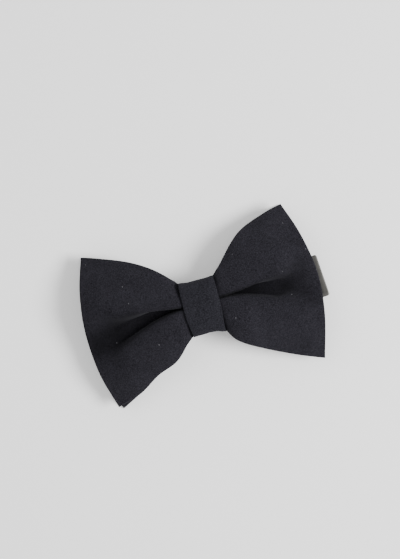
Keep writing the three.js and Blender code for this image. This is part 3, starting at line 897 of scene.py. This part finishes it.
def tape(name, path, body, replaced):
    # a flat band with rounded edges, carried along a path in x and z: each point of the section moves its height
    # along the path's normal and its width along y
    look = bandLook
    path = np.asarray(path)
    keep = np.concatenate([[True], np.linalg.norm(np.diff(path, axis=0), axis=1) > 0.02])
    path = path[keep]
    outward, travelled = outwards(path), lengths(path)
    half, radius = look["width"] / 2, look["edgeRadius"]
    edge = half - radius * (1 - np.sin(np.linspace(0, 1, look["edgePoints"]) * math.pi / 2))
    level = np.linspace(-half + radius, half - radius, look["flatPoints"])[1:-1]
    across = np.concatenate([-edge[::-1], level, edge])
    inside = np.clip((np.abs(across) - half + radius) / radius, 0, 1)
    skin = look["thickness"] / 2 * np.sqrt(1 - inside ** 2)
    skin = skin * (1 - look["stitchSunk"] * np.exp(-((np.abs(across) - look["stitchFrom"]) / 0.3) ** 2))
    v = np.concatenate([across, across[::-1][1:-1]])
    n = np.concatenate([skin, -skin[::-1][1:-1]])
    ripple = look["ripple"] * np.sin(travelled / 4.3)[:, None] * np.cos(v / 5.5)[None]
    sway = look["sway"] * np.sin(travelled / 7.7 + 1)[:, None]
    offset = n[None] + ripple
    points = np.stack([path[:, :1] + outward[:, :1] * offset,
                       look["middle"] + v[None] + sway + 0 * offset,
                       path[:, 1:] + outward[:, 1:] * offset], -1)
    rows, columns = len(path), len(v)
    quads = gridQuads(rows, columns, False, True)
    count = len(across)
    k = np.arange(count - 1)
    opposite = (columns - np.arange(count)) % columns  # the point below each point of the upper face
    opposite[0], opposite[-1] = 0, count - 1
    start = [[a, b, opposite[b], opposite[a]] for a, b in zip(k, k + 1)]
    faces = [list(dict.fromkeys(map(int, f))) for f in start]
    last = (rows - 1) * columns
    caps = faces + [[last + i for i in f][::-1] for f in faces]  # the two cut ends
    uv = np.stack([travelled[:, None] + 0 * v, v[None] + 0 * travelled[:, None]], -1)
    item = makeObject(name, points, quads.tolist() + caps, uv, tapeCloth)
    if body:
        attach(item, body)
    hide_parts(*replaced)
    return item, travelled[-1]


ringLoop = [(50, 9.55), (53, 9.57), (54.4, 9.55), (55.6, 9.2), (56.15, 8.25), (55.6, 7.3), (54.4, 6.95),
            (53.2, 7.3), (52.6, 8.0), (51.6, 8.7), (50, 8.84)]  # round the ring's bar, in x and z
sewnStart = -27.0


def routes(b):
    # the six stretches of the band, each a path in x and z
    front = np.concatenate([line(b["ringStart"], b["outerFold"], b["firstRun"]),
                            turnRound(b["outerFold"], b["firstRun"], b["secondRun"], -1),
                            line(b["outerFold"], 0, b["secondRun"])])
    middle = np.concatenate([line(0, b["innerFold"], b["secondRun"]),
                             turnRound(b["innerFold"], b["secondRun"], b["thirdRun"], 1),
                             line(b["innerFold"], 0, b["thirdRun"])])
    back = np.concatenate([line(0, b["lastFold"], b["thirdRun"]),
                           turnRound(b["lastFold"], b["thirdRun"], b["fourthRun"], -1),
                           line(b["lastFold"], b["hookBar"], b["fourthRun"]),
                           turnRound(b["hookBar"], b["fourthRun"], b["returnRun"], 1),
                           line(b["hookBar"], b["hookBar"] - 0.6, b["returnRun"])])
    returning = line(b["hookBar"] - 0.6, sewnStart + 0.1, b["returnRun"])
    sewn = np.concatenate([line(sewnStart, b["sliderBar"], b["sliderTop"], 0.6),
                           turnRound(b["sliderBar"], b["sliderTop"], b["returnRun"], -1),
                           line(b["sliderBar"], sewnStart + 0.1, b["returnRun"], 0.6)])
    ringEnd = splineSamples([(b["ringStart"], b["firstRun"]), *ringLoop], 6)
    return front, middle, back, returning, sewn, ringEnd


front, middle, back, returning, sewn, ringEnd = routes(bandLook)
bands = [
    ("neckband_front", front, None, ["neckband_first_run", "neckband_first_fold"]),
    ("neckband_middle", middle, None, ["neckband_second_run", "neckband_second_fold"]),
    ("neckband_back", back, None,
     ["neckband_third_run", "neckband_third_fold", "neckband_fourth_run", "neckband_hook_turn"]),
    ("neckband_return", returning, "band_fourth", ["neckband_return_run"]),
    ("neckband_slider_end", sewn, "slider", ["neckband_sewn_end"]),
    ("neckband_ring_end", ringEnd, "bow", ["neckband_first_run"]),
]
tapes = {}
for name, path, body, replaced in bands:
    item, length = tape(name, path, body, replaced)
    tapes[name] = item
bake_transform(tapes["neckband_front"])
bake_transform(tapes["neckband_middle"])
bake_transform(tapes["neckband_back"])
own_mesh(tapes["neckband_return"])
print("neckband made")


fittingLook = {
    "halfHeight": 10.75,
    "slotHalfHeight": 8.6,
    "bar": 0.65,  # half the width of the bar that a band turns round
    "corner": 1.1,
    "slotCorner": 0.6,
    "thickness": 0.9,
    "ring": {"x": 54.4, "z": 8.25, "slotEnd": 4.7, "end": 8.1, "tilt": math.radians(3.7)},
    "hook": {"x": 32.0, "z": 1.85, "slotEnd": 2.9, "end": 5.2},
    "tongue": {"root": 4.0, "end": 10.5, "tip": 5.4, "turn": 1.0, "halfWidth": 4.0, "thickness": 0.8},
    "adjuster": {"x": -30.0, "half": 6.2, "slotEnd": 4.1, "barHalf": 0.42, "low": 1.35, "high": 4.35, "bend": 4.2,
                 "barPast": 0.9, "thickness": 0.7},
    "cornerPoints": 9,
    "sectionPoints": 28,
    "barPoints": 32,
    "stepsToAnEdge": 8,
}


def roundedOutline(x0, x1, halfHeight, corner):
    # a rectangle with round corners, walked round from the middle of its +X side
    quarter = np.linspace(0, math.pi / 2, fittingLook["cornerPoints"])
    corners = [(x1, halfHeight, 0), (x0, halfHeight, 1), (x0, -halfHeight, 2), (x1, -halfHeight, 3)]
    walk = [(x1, 0)]
    for cx, cy, turns in corners:
        angle = quarter + turns * math.pi / 2
        inX, inY = cx - math.copysign(corner, cx - (x0 + x1) / 2), cy - math.copysign(corner, cy)
        walk += list(zip(inX + corner * np.cos(angle), inY + corner * np.sin(angle)))
    return np.array(walk + [(x1, 0)])


def plateRing(x0, x1, holeX0, holeX1, thickness, height):
    # a closed flat ring of metal: an oval section with flat sides, from the hole's outline to the outer outline
    look = fittingLook
    outer = roundedOutline(x0, x1, look["halfHeight"], look["corner"])
    hole = roundedOutline(holeX0, holeX1, look["slotHalfHeight"], look["slotCorner"])
    places = np.arange(len(outer))  # both walks have the same number of points
    last = len(outer) - 1
    fine = np.unique(np.concatenate([places, np.linspace(0, last, look["stepsToAnEdge"] * last + 1)]))[:-1]
    o = np.stack([np.interp(fine, places, outer[:, k]) for k in (0, 1)], -1)[:, None]
    h = np.stack([np.interp(fine, places, hole[:, k]) for k in (0, 1)], -1)[:, None]
    p = np.linspace(0, 2 * math.pi, look["sectionPoints"], endpoint=False)
    share = (0.5 + 0.5 * signedPower(np.cos(p), 0.3))[None, :, None]
    rise = (signedPower(np.sin(p), 0.5) * thickness / 2)[None]
    place = h * (1 - share) + o * share
    z = height(place[..., 0]) + rise
    points = np.concatenate([place, z[..., None]], -1)
    return points.reshape(-1, 3), gridQuads(len(fine), look["sectionPoints"], True, True)[:, ::-1]


def bar(path, halfWidth, thickness):
    # a strip of metal with rounded edges, carried along a path in x and z, its width in y
    path = np.asarray(path)
    outward = outwards(path)
    count = fittingLook["barPoints"]
    p = np.linspace(0, 2 * math.pi, count, endpoint=False)
    y = halfWidth * signedPower(np.cos(p), 0.22)
    n = thickness / 2 * signedPower(np.sin(p), 0.5)
    toEnd = np.minimum(np.arange(len(path)), np.arange(len(path))[::-1])
    ends = 0.35 + 0.65 * np.sqrt(np.clip(toEnd / 3, 0, 1))  # the strip thins out over its last three steps
    points = np.stack([path[:, :1] + outward[:, :1] * n * ends[:, None],
                       y[None] * (0.9 + 0.1 * ends[:, None]) + 0 * path[:, :1],
                       path[:, 1:] + outward[:, 1:] * n * ends[:, None]], -1)
    rows = len(path)
    quads = gridQuads(rows, count, False, True).tolist()
    half = [list(dict.fromkeys([k, k + 1, count - 1 - k, (count - k) % count])) for k in range(count // 2)]
    caps = half + [[(rows - 1) * count + i for i in f][::-1] for f in half]
    return points.reshape(-1, 3), quads + caps


def fitting(name, node, body, shells, move, tilt=0.0):
    # joins the shells into one piece, turned by tilt and moved to its place
    points, quads, start = [], [], 0
    for shellPoints, shellQuads in shells:
        points.append(shellPoints)
        quads += [[start + int(i) for i in q] for q in shellQuads]
        start += len(shellPoints)
    points = np.concatenate(points)
    c, s = math.cos(tilt), math.sin(tilt)
    x = points[:, 0] * c - points[:, 1] * s + move[0]
    y = points[:, 0] * s + points[:, 1] * c + move[1]
    item = makeObject(name, np.stack([x, y, points[:, 2] + move[2]], -1), quads, None, greyPlating)
    made = bmesh.new()
    made.from_mesh(item.data)
    bmesh.ops.recalc_face_normals(made, faces=made.faces)
    made.to_mesh(item.data)
    made.free()
    item.data.polygons.foreach_set("use_smooth", np.ones(len(item.data.polygons), bool))
    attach(item, body)
    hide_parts(node)
    return item


def flat(x):
    return 0 * x


def bowed(x):
    # the adjuster's frame rises from its middle bar to its two outer bars
    slide = fittingLook["adjuster"]
    return slide["low"] + (slide["high"] - slide["low"]) * smooth(np.abs(x), 0.4, slide["bend"])


def makeFittings():
    # the eye ring, the hook with its folded tongue, and the adjuster with its middle bar
    look = fittingLook
    ring, hook, tongue, slide = look["ring"], look["hook"], look["tongue"], look["adjuster"]
    shell = plateRing(-look["bar"], ring["end"], look["bar"], ring["slotEnd"], look["thickness"], flat)
    fitting("ring_frame", "eye_ring", "ring", [shell], (ring["x"], bandLook["middle"], ring["z"]), ring["tilt"])
    shell = plateRing(-look["bar"], hook["end"], look["bar"], hook["slotEnd"], look["thickness"], flat)
    angle = np.linspace(-math.pi / 2, math.pi / 2, 16)[1:-1]
    bend = np.stack([tongue["end"] + tongue["turn"] * np.cos(angle), tongue["turn"] * (1 + np.sin(angle))], -1)
    path = np.concatenate([line(tongue["root"], tongue["end"], 0, 0.5), bend,
                           line(tongue["end"], tongue["tip"], 2 * tongue["turn"], 0.5)])
    fitting("hook_plate", "hook", "hook", [shell, bar(path, tongue["halfWidth"], tongue["thickness"])],
            (hook["x"], bandLook["middle"], hook["z"]))
    shell = plateRing(-slide["half"], slide["half"], -slide["slotEnd"], slide["slotEnd"], slide["thickness"], bowed)
    cross = line(-slide["barHalf"], slide["barHalf"], slide["low"], 0.09)
    fitting("adjuster_frame", "slide_adjuster", "slider",
            [shell, bar(cross, look["slotHalfHeight"] + slide["barPast"], slide["thickness"])],
            (slide["x"], bandLook["middle"], 0))


makeFittings()

for name in ("gather_thread", "knot_closing_stitch", "ring_end_tack"):
    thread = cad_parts[name].data.materials
    thread.clear()
    thread.append(blackThread)
print("fittings and threads finished")
